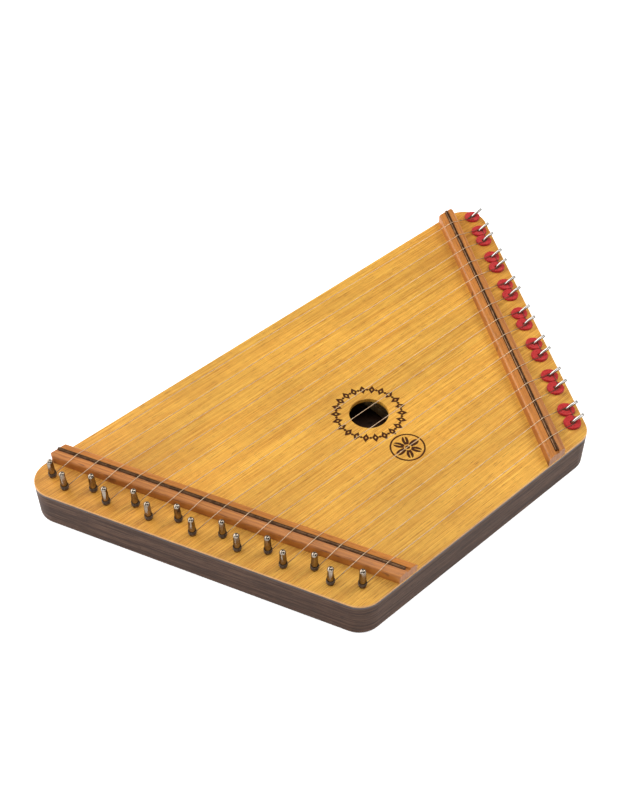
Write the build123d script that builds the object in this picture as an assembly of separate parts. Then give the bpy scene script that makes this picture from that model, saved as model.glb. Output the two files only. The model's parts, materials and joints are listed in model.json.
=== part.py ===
from build123d import *
from math import acos, asin, atan2, cos, degrees, hypot, pi, radians, sin, tan
import os

# A fifteen-string box zither. Millimetres, Z up, the box standing on Z = 0.
# The strings run along X, the long side is at the rear (+Y), the tuning pins are at the left
# and the hitch pins at the right. The origin is under the middle of the whole outline.

# Box
long_side = 491.0
depth = 250.0
left_run = 113.6
right_run = 147.9
corner_radius = 18.5
body_height = 31.0
soundboard_thickness = 3.0
back_thickness = 3.0
edge_rounding = 0.9
band_thickness = 2.5
pin_block_width = 44.0
hitch_block_width = 44.0
lining_width = 6.0
lining_height = 8.0
sound_hole_radius = 15.0

# Braces
brace_width = 6.0
brace_height = 9.0
brace_end_height = 3.0
brace_taper = 26.0
brace_offset = 42.0
back_brace_offset = 26.0
back_brace_height = 7.0

# Bridge rails and their saddle rods
rail_width = 15.0
rail_side_height = 7.0
rail_crest_height = 8.8
rail_ridge_radius = 2.0
rail_end_radius = 3.0
rail_end_setback = 0.3
left_saddle_inset = 36.3
right_saddle_inset = 33.2
rod_radius = 1.25
rod_rise = 0.85
rod_near_setback = 2.6
rod_far_setback = 1.6
groove_side_gap = 0.35

# Strings
string_count = 15
string_pitch = 15.69
first_string_inset = 17.2
wire_radius = 0.25
wire_seat_gap = 0.03

# Tuning pins
pin_radius = 2.5
pin_rise = 17.5
pin_depth = 22.5
pin_fit = 0.05
pin_bore_spare = 1.0
near_row_inset = 17.9
far_row_inset = 11.4
dome_radius = 2.3
dome_height = 1.9
neck_radius = 2.2
neck_height = 0.5
head_base_rise = 5.8
head_top_half = 1.75
pin_tip_chamfer = 0.8
cross_hole_radius = 0.5
cross_hole_rise = 1.3

# Windings on the tuning pins
coil_rise = 4.3
coil_pitch = 0.96
coil_turns = 2.5
coil_exit_lift = 0.3
coil_fit = 0.06
turn_spread = 24.0
turn_kinds = 5
tail_bend_radius = 0.7
tail_lead_angle = 65.0

# Hitch pins and felt washers
hitch_radius = 1.2
hitch_inset = 10.7
hitch_lean = 36.0
hitch_curl = 22.0
hitch_curl_radius = 27.0
hitch_bore_fit = 0.04
hitch_shank = 22.0
hitch_tip_rounding = 0.7
hitch_turn_radius = 2.1
washer_radius = 6.5
washer_thickness = 2.0
washer_hole_radius = 2.6
washer_seat_gap = 0.05
descent_bend_radius = 4.0
descent_run = 1.2
eye_lead = 4.4
eye_open_angle = 130.0

# Places that follow from the sizes
rear_y = depth / 2
front_y = -depth / 2
left_leg = hypot(left_run, depth)
right_leg = hypot(right_run, depth)
left_tangent = corner_radius / tan(atan2(depth, left_run) / 2)
right_tangent = corner_radius / tan(atan2(depth, right_run) / 2)
overall_length = long_side - left_tangent - right_tangent + 2 * corner_radius
left_corner_x = -overall_length / 2 - left_tangent + corner_radius
right_corner_x = left_corner_x + long_side
board_top = body_height
board_under = body_height - soundboard_thickness
coil_radius = pin_radius + coil_fit + wire_radius
rod_axis_z = board_top + rail_crest_height + rod_rise - rod_radius
saddle_radius = rod_radius + wire_radius + wire_seat_gap
coil_z = board_top + coil_rise
hitch_ring_z = board_top + washer_thickness + wire_radius + 2 * washer_seat_gap
hitch_outward = Vector(depth / right_leg, -right_run / right_leg, 0)
outward_angle = degrees(atan2(hitch_outward.Y, hitch_outward.X))


def left_x(y, inset):
    """X on the line that lies inset inside the left leg."""
    return left_corner_x + (rear_y - y) * left_run / depth + inset * left_leg / depth


def right_x(y, inset):
    """X on the line that lies inset inside the right leg."""
    return right_corner_x - (rear_y - y) * right_run / depth - inset * right_leg / depth


def string_y(number):
    return rear_y - first_string_inset - string_pitch * (number - 1)


def outline(inset):
    """The rounded trapezoid, drawn in by inset."""
    rear = rear_y - inset
    front = front_y + inset
    corners = [
        (left_x(rear, inset), rear),
        (right_x(rear, inset), rear),
        (right_x(front, inset), front),
        (left_x(front, inset), front),
    ]
    face = make_face(Polyline(*corners, close=True))
    return fillet(face.vertices(), corner_radius - inset)


def leg_strip(line_x, inner_inset):
    """Everything from well outside one leg to inner_inset inside it."""
    reach = depth
    rear = rear_y + reach
    front = front_y - reach
    corners = [
        (line_x(rear, -reach), rear),
        (line_x(rear, inner_inset), rear),
        (line_x(front, inner_inset), front),
        (line_x(front, -reach), front),
    ]
    return make_face(Polyline(*corners, close=True))


def upright(face, base_z, height):
    return Pos(0, 0, base_z) * extrude(face, amount=height)


# Places of the pins
def tuning_pin_place(number):
    """Odd pins stand in the row nearer the rail, even pins in the row nearer the edge."""
    y = string_y(number) + coil_radius
    inset = near_row_inset if number % 2 else far_row_inset
    return left_x(y, inset), y


def hitch_side(number):
    """A doubled string passes outside both its hitch pins: the first is in front of it, the next behind."""
    if number == 1:
        return 0
    return 1 if number % 2 else -1


def hitch_foot(number):
    """Where a hitch pin's axis crosses the soundboard's top."""
    ring_lean = (hitch_ring_z - board_top) * tan(radians(hitch_lean))
    y_ring = string_y(number) + hitch_side(number) * hitch_turn_radius
    y = y_ring - hitch_outward.Y * ring_lean
    return Vector(right_x(y, hitch_inset), y, board_top)


def hitch_axis_at(number, z):
    foot = hitch_foot(number)
    return foot + hitch_outward * ((z - board_top) * tan(radians(hitch_lean))) + Vector(0, 0, z - board_top)


# Box pieces
def make_soundboard():
    board = upright(outline(0), board_under, soundboard_thickness)
    board = fillet(board.edges().group_by(Axis.Z)[-1], edge_rounding)
    board -= Pos(sound_hole_x(), 0, board_under) * Cylinder(sound_hole_radius, 3 * soundboard_thickness)
    for number in range(1, string_count + 1):
        board -= tuning_bore(number)
        board -= hitch_bore(number)
    return board


def sound_hole_x():
    """Halfway between the two saddles, at mid depth."""
    return (left_x(0, left_saddle_inset) + right_x(0, right_saddle_inset)) / 2


def tuning_bore(number):
    x, y = tuning_pin_place(number)
    length = pin_depth + pin_bore_spare + soundboard_thickness
    bottom = board_top - pin_depth - pin_bore_spare
    return Pos(x, y, bottom + length / 2) * Cylinder(pin_radius + pin_fit, length)


def hitch_bore(number):
    foot = hitch_foot(number)
    along = hitch_direction(hitch_lean)
    bore_length = 2 * (hitch_shank + 2 * hitch_bore_fit)
    bore = Cylinder(hitch_radius + hitch_bore_fit, bore_length)
    return Plane(origin=foot, z_dir=along) * bore


def hitch_direction(lean):
    return hitch_outward * sin(radians(lean)) + Vector(0, 0, cos(radians(lean)))


def make_back_board():
    board = upright(outline(0), 0, back_thickness)
    return fillet(board.edges().group_by(Axis.Z)[0], edge_rounding)


def make_side_band():
    wall = outline(0) - outline(band_thickness)
    return upright(wall, back_thickness, board_under - back_thickness)


def make_pin_block():
    plan = outline(band_thickness) & leg_strip(left_x, band_thickness + pin_block_width)
    block = upright(plan, back_thickness, board_under - back_thickness)
    for number in range(1, string_count + 1):
        block -= tuning_bore(number)
    return block


def make_hitch_block():
    plan = outline(band_thickness) & leg_strip(right_x, band_thickness + hitch_block_width)
    block = upright(plan, back_thickness, board_under - back_thickness)
    for number in range(1, string_count + 1):
        block -= hitch_bore(number)
    return block


def make_lining(side, base_z):
    """A strip glued in the corner between a board and the long or the short side of the band."""
    middle_y = side * (rear_y - band_thickness - lining_width / 2)
    strip = Pos(0, middle_y) * Rectangle(2 * long_side, lining_width)
    plan = outline(band_thickness) & strip
    plan -= leg_strip(left_x, band_thickness + pin_block_width)
    plan -= leg_strip(right_x, band_thickness + hitch_block_width)
    return upright(plan, base_z, lining_height)


def make_brace(x, glued_z, height, down):
    """A bar across the grain, with its free edge running out to thin ends."""
    front = front_y + band_thickness + lining_width
    rear = rear_y - band_thickness - lining_width
    step = -1 if down else 1
    corners = [
        (front, glued_z),
        (rear, glued_z),
        (rear, glued_z + step * brace_end_height),
        (rear - brace_taper, glued_z + step * height),
        (front + brace_taper, glued_z + step * height),
        (front, glued_z + step * brace_end_height),
    ]
    profile = Plane.YZ * make_face(Polyline(*corners, close=True))
    return Pos(x - brace_width / 2, 0, 0) * extrude(profile, amount=brace_width)


# Bridge rails
def rail_section():
    half = rail_width / 2
    corners = [
        (-half, 0),
        (half, 0),
        (half, rail_side_height),
        (0, rail_crest_height),
        (-half, rail_side_height),
    ]
    face = make_face(Polyline(*corners, close=True))
    ridges = [v for v in face.vertices() if abs(v.Y - rail_side_height) < 0.01]
    return fillet(ridges, rail_ridge_radius)


def leg_frame(line_x, inset):
    """A plane across the rail at mid depth: its X points to the right, its Y up, its Z along the leg."""
    rear_point = Vector(line_x(rear_y, inset), rear_y, board_top)
    front_point = Vector(line_x(front_y, inset), front_y, board_top)
    along = (front_point - rear_point).normalized()
    across = Vector(0, 0, 1).cross(along)
    middle = (rear_point + front_point) / 2
    return Plane(origin=middle, x_dir=across, z_dir=along)


def rail_plan(line_x, inset):
    """The rail seen from above: its ends are parallel to the long side, the far one with round corners."""
    half = rail_width / 2
    rear = rear_y - rail_end_setback
    front = front_y + rail_end_setback
    corners = [
        (line_x(rear, inset - half), rear),
        (line_x(rear, inset + half), rear),
        (line_x(front, inset + half), front),
        (line_x(front, inset - half), front),
    ]
    face = make_face(Polyline(*corners, close=True))
    far_corners = [v for v in face.vertices() if v.Y > 0]
    return fillet(far_corners, rail_end_radius)


def rail_elevation():
    """The rail seen from the side, with the far top edge rounded over."""
    rear = rear_y - rail_end_setback
    corners = [(-depth, 0), (rear, 0), (rear, rail_crest_height), (-depth, rail_crest_height)]
    face = make_face(Polyline(*corners, close=True))
    far_top = [v for v in face.vertices() if v.X > 0 and v.Y > 0]
    face = fillet(far_top, rail_end_radius)
    return Pos(-long_side, 0, board_top) * extrude(Plane.YZ * face, amount=2 * long_side)


def make_rail(line_x, inset):
    frame = leg_frame(line_x, inset)
    bar = extrude(frame * rail_section(), amount=depth, both=True)
    prism = upright(rail_plan(line_x, inset), board_top, 2 * rail_crest_height)
    rail = bar & prism & rail_elevation()
    groove_width = 2 * (rod_radius + groove_side_gap)
    groove_floor = rod_axis_z - board_top - rod_radius - wire_seat_gap
    groove = Pos(0, groove_floor + rail_crest_height / 2) * Rectangle(groove_width, rail_crest_height)
    return rail - extrude(frame * groove, amount=depth, both=True)


def make_saddle_rod(line_x, inset):
    near = front_y + rod_near_setback
    far = rear_y - rod_far_setback
    near_point = Vector(line_x(near, inset), near, rod_axis_z)
    far_point = Vector(line_x(far, inset), far, rod_axis_z)
    length = (near_point - far_point).length
    frame = Plane(origin=far_point, z_dir=(near_point - far_point).normalized())
    rod = extrude(frame * Circle(rod_radius), amount=length)
    return chamfer(rod.edges(), rod_radius / 5)


# Tuning pins
def hole_angle(number):
    """Each pin stopped at its own place when it was tuned, so the cross holes point differently."""
    spread = (number * 2) % turn_kinds - (turn_kinds - 1) / 2
    return -90 - 360 * coil_turns - tail_lead_angle + turn_spread * spread


def make_tuning_pin(number):
    x, y = tuning_pin_place(number)
    bottom = board_top - pin_depth
    head_base = board_top + head_base_rise
    dome_base = board_top + pin_rise - dome_height
    neck_top = dome_base - neck_height
    top = board_top + pin_rise
    shank_line = Polyline(
        (0, bottom),
        (pin_radius - pin_tip_chamfer, bottom),
        (pin_radius, bottom + pin_tip_chamfer),
        (pin_radius, head_base),
        (neck_radius, neck_top),
        (dome_radius, dome_base),
    )
    cap_radius = (dome_radius**2 + dome_height**2) / (2 * dome_height)
    half_slope = asin(dome_radius / cap_radius) / 2
    dome_line = ThreePointArc(
        (dome_radius, dome_base),
        (cap_radius * sin(half_slope), top - cap_radius + cap_radius * cos(half_slope)),
        (0, top),
    )
    axis_line = Line((0, top), (0, bottom))
    profile = Plane.XZ * make_face(shank_line + dome_line + axis_line)
    turned = revolve(profile, axis=Axis.Z)
    flats = loft([
        Plane.XY.offset(head_base) * Rectangle(2 * pin_radius, 2 * pin_radius),
        Plane.XY.offset(neck_top) * Rectangle(2 * head_top_half, 2 * head_top_half),
    ])
    ring = Cylinder(2 * pin_radius, neck_top - head_base)
    waste = Pos(0, 0, (neck_top + head_base) / 2) * ring - flats
    hole_z = board_top + cross_hole_rise
    hole = Pos(0, 0, hole_z) * Rot(0, 90, 0) * Cylinder(cross_hole_radius, 4 * pin_radius)
    pin = turned - waste - hole
    return Pos(x, y, 0) * Rot(0, 0, hole_angle(number)) * pin


# Hitch pins and washers
def make_hitch_pin(number):
    """A nickel pin driven in square to the leg at a lean, its free end curling further outward."""
    foot = hitch_foot(number)
    low = foot - hitch_direction(hitch_lean) * hitch_shank
    bend = foot + hitch_direction(hitch_lean) * washer_thickness
    centre = bend + hitch_direction(hitch_lean + 90) * hitch_curl_radius
    middle = centre - hitch_direction(hitch_lean + 90 + hitch_curl / 2) * hitch_curl_radius
    tip = centre - hitch_direction(hitch_lean + 90 + hitch_curl) * hitch_curl_radius
    path = Line(low, bend) + ThreePointArc(bend, middle, tip)
    section = Plane(origin=low, z_dir=hitch_direction(hitch_lean)) * Circle(hitch_radius)
    pin = sweep(section, path=path)
    tip_edge = pin.edges().filter_by(GeomType.CIRCLE).sort_by(Axis.Z)[-1]
    return fillet(tip_edge, hitch_tip_rounding)


def make_washer(number):
    middle = hitch_axis_at(number, board_top + washer_thickness / 2)
    ring = Circle(washer_radius) - Circle(washer_hole_radius)
    face = Pos(middle.X, middle.Y) * ring
    washer = upright(face, board_top + washer_seat_gap, washer_thickness)
    rims = washer.edges().group_by(Axis.Z)[-1].sort_by(SortBy.RADIUS)[-1]
    return fillet(rims, washer_thickness / 4)


# Strings. A route is a list of pieces: two points are a straight run, three an arc.
def arc_from(start, tangent, end):
    """The arc that leaves start along tangent and passes through end."""
    chord = end - start
    turn = acos(max(-1.0, min(1.0, chord.normalized().dot(tangent))))
    sideways = tangent - chord.normalized() * chord.normalized().dot(tangent)
    if sideways.length < 1e-9:
        return (start, end)
    middle = start + chord / 2 + sideways.normalized() * (chord.length / 2 * tan(turn / 2))
    return (start, middle, end)


def biarc(start, start_tangent, end, end_tangent):
    """Two arcs that meet smoothly and keep both end tangents."""
    across = end - start
    total = start_tangent + end_tangent
    spare = 2 * (1 - start_tangent.dot(end_tangent))
    reach = across.dot(total)
    if spare < 1e-9:
        handle = across.dot(across) / (4 * across.dot(end_tangent))
    else:
        handle = (-reach + (reach**2 + spare * across.dot(across)) ** 0.5) / spare
    first = start + start_tangent * handle
    second = end - end_tangent * handle
    joint = (first + second) / 2
    middle_tangent = (second - first).normalized()
    return [arc_from(start, start_tangent, joint), arc_from(joint, middle_tangent, end)]


def winding(number, leave_tangent):
    """From the mouth of the cross hole, round the pin, to where the string leaves its front."""
    x, y = tuning_pin_place(number)
    quarter_rise = coil_pitch / 4
    slope = atan2(coil_pitch, 2 * pi * coil_radius)

    def around(angle, z, radius):
        return Vector(x + radius * cos(radians(angle)), y + radius * sin(radians(angle)), z)

    def heading(angle, rise):
        """Counter-clockwise round the pin, as the wire runs from its end to the string."""
        flat = Vector(-sin(radians(angle)), cos(radians(angle)), 0)
        return flat * cos(rise) + Vector(0, 0, sin(rise))

    start_angle = hole_angle(number)
    hole_z = board_top + cross_hole_rise
    outward = Vector(cos(radians(start_angle)), sin(radians(start_angle)), 0)
    turning = heading(start_angle, 0)
    wire_end = Vector(x, y, hole_z) + outward * (pin_radius + coil_fit)
    mouth = wire_end + outward * 2 * wire_radius
    bend_centre = mouth + turning * tail_bend_radius
    bend_end = bend_centre + outward * tail_bend_radius
    diagonal = (outward - turning).normalized()
    route = [(wire_end, mouth), (mouth, bend_centre + diagonal * tail_bend_radius, bend_end)]

    turned = -90 - start_angle - tail_lead_angle
    quarters = round(turned / 90)
    step = turned / quarters
    angle = start_angle + tail_lead_angle
    z = coil_z - coil_exit_lift - coil_pitch * turned / 360
    place = around(angle, z, coil_radius)
    tangent = heading(angle, slope)
    route += biarc(bend_end, turning, place, tangent)
    for quarter in range(quarters):
        angle += step
        z += quarter_rise * step / 90
        if quarter == quarters - 1:
            z = coil_z
        next_place = around(angle, z, coil_radius)
        next_tangent = leave_tangent if quarter == quarters - 1 else heading(angle, slope)
        route += biarc(place, tangent, next_place, next_tangent)
        place = next_place
        tangent = next_tangent
    return route


def saddle_climb(start_x, start_z, rod_x):
    """Angle of the straight run from a low point up to a rod, which it touches from above."""
    run = abs(rod_x - start_x)
    rise = rod_axis_z - start_z
    return atan2(rise, run) + asin(saddle_radius / hypot(run, rise))


def over_saddle(y, rod_x, climb, side):
    """The short arc over a rod, from the run that climbs to it, to the level span. side is -1 or 1."""
    def at(angle):
        return Vector(rod_x + side * saddle_radius * sin(angle), y, rod_axis_z + saddle_radius * cos(angle))

    return (at(climb), at(climb / 2), at(0))


def tuning_half(number):
    """Tail, winding, climb and left saddle, up to where the level span starts."""
    x, _ = tuning_pin_place(number)
    y = string_y(number)
    rod_x = left_x(y, left_saddle_inset)
    climb = saddle_climb(x, coil_z, rod_x)
    crest = over_saddle(y, rod_x, climb, -1)
    route = winding(number, Vector(cos(climb), 0, sin(climb)))
    route.append((route[-1][-1], crest[0]))
    route.append(crest)
    return route


def descent(number, ring_x):
    """Right saddle and the run down to the hitch pin, ending level at ring_x."""
    y = string_y(number)
    rod_x = right_x(y, right_saddle_inset)
    knee_x = ring_x - descent_run
    climb = saddle_climb(knee_x, hitch_ring_z, rod_x)
    crest = over_saddle(y, rod_x, climb, 1)
    setback = descent_bend_radius * tan(climb / 2)
    knee = Vector(knee_x, y, hitch_ring_z)
    knee_start = knee + Vector(-cos(climb), 0, sin(climb)) * setback
    knee_end = knee + Vector(setback, 0, 0)
    bend = arc_from(knee_start, Vector(cos(climb), 0, -sin(climb)), knee_end)
    route = [tuple(reversed(crest)), (crest[0], knee_start), bend]
    route.append((knee_end, Vector(ring_x, y, hitch_ring_z)))
    return route


def ring_point(number, angle):
    centre = hitch_axis_at(number, hitch_ring_z)
    offset = Vector(cos(radians(angle)), sin(radians(angle)), 0) * hitch_turn_radius
    return centre + offset


def ring_arc(number, start_angle, end_angle):
    middle_angle = (start_angle + end_angle) / 2
    return tuple(ring_point(number, angle) for angle in (start_angle, middle_angle, end_angle))


def backwards(route):
    return [tuple(reversed(piece)) for piece in reversed(route)]


def eye_route():
    """The first string ends in an eye, which opens round its hitch pin and stops short of itself."""
    centre = hitch_axis_at(1, hitch_ring_z)
    neck_x = centre.X - eye_lead
    route = descent(1, neck_x)
    start = ring_point(1, eye_open_angle)
    lean = radians(eye_open_angle - 90)
    neck = Vector(neck_x, string_y(1), hitch_ring_z)
    route += biarc(neck, Vector(1, 0, 0), start, Vector(cos(lean), sin(lean), 0))
    route.append(ring_arc(1, eye_open_angle, 0))
    route.append(ring_arc(1, 0, -eye_open_angle))
    end = route[-1][-1]
    route.append((end, end + Vector(-cos(lean), sin(lean), 0) * 2 * wire_radius))
    return route


def joined(first, second):
    """One route out of two, with the straight run between them."""
    return first + [(first[-1][-1], second[0][0])] + second


def single_route():
    return joined(tuning_half(1), eye_route())


def double_route(number):
    """One wire that makes two strings: out over its first hitch pin, round the next and back."""
    partner = number + 1
    first_ring = ring_arc(number, 90, outward_angle)
    second_ring = ring_arc(partner, outward_angle, -90)
    out = descent(number, first_ring[0].X)
    back = descent(partner, second_ring[-1].X)
    turn = [first_ring, (first_ring[-1], second_ring[0]), second_ring]
    hitch_end = out + turn + backwards(back)
    return joined(joined(tuning_half(number), hitch_end), backwards(tuning_half(partner)))


def make_string(route):
    edges = []
    for piece in route:
        if len(piece) == 2:
            edges.append(Edge.make_line(*piece))
        else:
            edges.append(Edge.make_three_point_arc(*piece))
    start = route[0][0]
    direction = (route[0][1] - start).normalized()
    section = Plane(origin=start, z_dir=direction) * Circle(wire_radius)
    return sweep(section, path=Wire(edges))


def route_length(route):
    total = 0
    for piece in route:
        if len(piece) == 2:
            total += (piece[1] - piece[0]).length
        else:
            total += Edge.make_three_point_arc(*piece).length
    return total


def winding_gap(number):
    """Least distance between the wire's surfaces in one winding, between points over a half turn apart."""
    points = []
    for piece in tuning_half(number)[:-2]:
        edge = Edge.make_line(*piece) if len(piece) == 2 else Edge.make_three_point_arc(*piece)
        steps = max(2, int(edge.length / 0.25))
        points += [(edge @ (i / steps), edge.length / steps) for i in range(steps)]
    least = 1e9
    for i, (first, _) in enumerate(points):
        run = 0
        for second, step in points[i + 1:]:
            run += step
            if run > pi * coil_radius:
                least = min(least, (second - first).length)
    return least - 2 * wire_radius


def write(name, shape):
    export_step(shape, f"parts/{name}.step")


def main():
    os.makedirs("parts", exist_ok=True)
    numbers = range(1, string_count + 1)
    write("soundboard", make_soundboard())
    write("back_board", make_back_board())
    write("side_band", make_side_band())
    write("pin_block", make_pin_block())
    write("hitch_block", make_hitch_block())
    write("rear_top_lining", make_lining(1, board_under - lining_height))
    write("rear_bottom_lining", make_lining(1, back_thickness))
    write("front_top_lining", make_lining(-1, board_under - lining_height))
    write("front_bottom_lining", make_lining(-1, back_thickness))
    hole_x = sound_hole_x()
    write("left_soundboard_brace", make_brace(hole_x - brace_offset, board_under, brace_height, True))
    write("right_soundboard_brace", make_brace(hole_x + brace_offset, board_under, brace_height, True))
    write("back_brace", make_brace(hole_x + back_brace_offset, back_thickness, back_brace_height, False))
    write("left_bridge_rail", make_rail(left_x, left_saddle_inset))
    write("right_bridge_rail", make_rail(right_x, right_saddle_inset))
    write("left_saddle_rod", make_saddle_rod(left_x, left_saddle_inset))
    write("right_saddle_rod", make_saddle_rod(right_x, right_saddle_inset))
    write("hitch_pins", Compound([make_hitch_pin(number) for number in numbers]))
    write("felt_washers", Compound([make_washer(number) for number in numbers]))
    for number in numbers:
        write(f"tuning_pin_{number:02d}", make_tuning_pin(number))
    single = single_route()
    write("string_01", make_string(single))
    print(f"string_01: {route_length(single):.1f} mm of wire")
    for number in range(2, string_count, 2):
        double = double_route(number)
        name = f"string_{number:02d}_{number + 1:02d}"
        write(name, make_string(double))
        print(f"{name}: {route_length(double):.1f} mm of wire")
    gap = min(winding_gap(number) for number in numbers)
    print(f"least gap between the turns of a winding: {gap:.2f} mm")
    print(f"overall length {overall_length:.1f} mm")


main()
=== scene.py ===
# %% [markdown]
# # A box kantele
# The instrument is a shallow wooden box with strings across its top. A pale softwood soundboard closes a
# dark band of hardwood, and two grooved rails carry thin steel rods, which are the ends of each string's
# sounding length. The strings are wound on tuning pins at the left, and hooked round leaning hitch pins at
# the right, each of which stands in a red felt washer. This notebook takes the measured model as its frame,
# gives every piece its material, and remakes the wires, the felt and the hitch pins finely enough to be
# seen from close by.

import json
from math import asin, atan2, cos, degrees, hypot, pi, radians, sin, tan

import bpy
import numpy as np
from mathutils import Matrix, Vector


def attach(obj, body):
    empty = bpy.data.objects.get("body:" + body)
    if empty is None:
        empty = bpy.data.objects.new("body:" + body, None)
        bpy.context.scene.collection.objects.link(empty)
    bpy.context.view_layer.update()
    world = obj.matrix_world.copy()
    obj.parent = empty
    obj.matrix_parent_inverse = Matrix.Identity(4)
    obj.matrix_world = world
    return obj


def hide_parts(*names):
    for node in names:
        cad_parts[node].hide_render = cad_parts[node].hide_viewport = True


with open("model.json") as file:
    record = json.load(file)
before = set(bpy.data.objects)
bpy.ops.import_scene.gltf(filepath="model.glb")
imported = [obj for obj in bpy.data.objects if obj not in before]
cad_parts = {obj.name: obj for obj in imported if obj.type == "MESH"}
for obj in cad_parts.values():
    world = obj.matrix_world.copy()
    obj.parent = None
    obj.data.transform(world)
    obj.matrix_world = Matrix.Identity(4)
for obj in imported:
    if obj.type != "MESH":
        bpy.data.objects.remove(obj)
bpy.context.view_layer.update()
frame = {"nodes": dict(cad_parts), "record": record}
nodes = frame["nodes"]
MM = 0.001

# %% [markdown]
# ## The sizes that the dressed pieces need
# The wires and the felt follow the same lines as the solids do. The box is a trapezoid: its long side is at
# the rear, and both slanted ends are straight lines, so two small functions give every place along them.
# The lengths are in millimetres here, because an instrument is read in millimetres, and turn into metres at
# the end.

# %%
DEPTH = 250.0
LONG_SIDE = 491.0
LEFT_RUN = 113.6
RIGHT_RUN = 147.9
CORNER = 18.5
BOARD_TOP = 31.0
LEFT_SADDLE = 36.3
RIGHT_SADDLE = 33.2
RAIL_HEIGHT = 8.8
ROD_RADIUS = 1.25
ROD_PROUD = 0.85
ROD_Z = BOARD_TOP + RAIL_HEIGHT + ROD_PROUD - ROD_RADIUS
STRINGS = 15
PITCH = 15.69
FIRST_STRING = 17.2
WIRE = 0.25
WIRE_SIDES = 12
ROD_SEAT = 0.03
PIN_SEAT = 0.06
HITCH_SEAT = 0.02
PIN_RADIUS = 2.5
COIL_RADIUS = PIN_RADIUS + PIN_SEAT + WIRE
COIL_BASE = BOARD_TOP + 1.75
COIL_TOP = BOARD_TOP + 4.3
CROSS_HOLE_Z = BOARD_TOP + 1.3
FRONT = -90.0
HOLE_BEFORE_FRONT = 2.5 * 360 + 65
HOLE_SCATTER = 24.0
LEAD_IN = 60.0
EXTRA_TURNS = 2
NEAR_ROW = 17.9
FAR_ROW = 11.4
HITCH_RADIUS = 1.2
HITCH_INSET = 10.7
HITCH_LEAN = 36.0
HITCH_CURL = 22.0
HITCH_CURL_RADIUS = 27.0
HITCH_TURN = 2.1
HITCH_ROOT = 3.0
HITCH_TIP = 0.7
FELT_RADIUS = 6.5
FELT_BORE = 1.75
FELT_EDGE = 0.7
FELT_THICKNESS = 2.0

left_leg = hypot(LEFT_RUN, DEPTH)
right_leg = hypot(RIGHT_RUN, DEPTH)
left_tangent = CORNER / tan(atan2(DEPTH, LEFT_RUN) / 2)
right_tangent = CORNER / tan(atan2(DEPTH, RIGHT_RUN) / 2)
overall = LONG_SIDE - left_tangent - right_tangent + 2 * CORNER
left_corner = -overall / 2 - left_tangent + CORNER
right_corner = left_corner + LONG_SIDE
outward = Vector((DEPTH / right_leg, -RIGHT_RUN / right_leg, 0))
along_leg = Vector((RIGHT_RUN / right_leg, DEPTH / right_leg, 0))


def left_x(y, inset):
    return left_corner + (DEPTH / 2 - y) * LEFT_RUN / DEPTH + inset * left_leg / DEPTH


def right_x(y, inset):
    return right_corner - (DEPTH / 2 - y) * RIGHT_RUN / DEPTH - inset * right_leg / DEPTH


def string_y(number):
    return DEPTH / 2 - FIRST_STRING - PITCH * (number - 1)


def pin_place(number):
    y = string_y(number) + COIL_RADIUS
    return left_x(y, NEAR_ROW if number % 2 else FAR_ROW), y


def hole_angle(number):
    """Degrees round a pin, counted back from its front. Five different places take turns."""
    return FRONT - HOLE_BEFORE_FRONT + HOLE_SCATTER * ((number * 2) % 5 - 2)


hole_x = (left_x(0, LEFT_SADDLE) + right_x(0, RIGHT_SADDLE)) / 2
print(f"overall length {overall:.1f} mm, sound hole at x = {hole_x:.1f} mm")

# %% [markdown]
# ## A short hand for materials
# Every finish is procedural. A small class keeps the node trees readable: it makes a node, sets or links
# its inputs, and returns the output socket. All patterns start from the object's own coordinates, in
# metres, so the grain of one board runs on through every cut edge of that board.

# %%
def linear(r, g, b):
    """A colour as it is read off a screen, turned into the linear values that the shader needs."""
    def one(c):
        c = c / 255
        return c / 12.92 if c <= 0.04045 else ((c + 0.055) / 1.055) ** 2.4
    return (one(r), one(g), one(b), 1)


X, Y, Z = (1, 0, 0), (0, 1, 0), (0, 0, 1)


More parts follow.
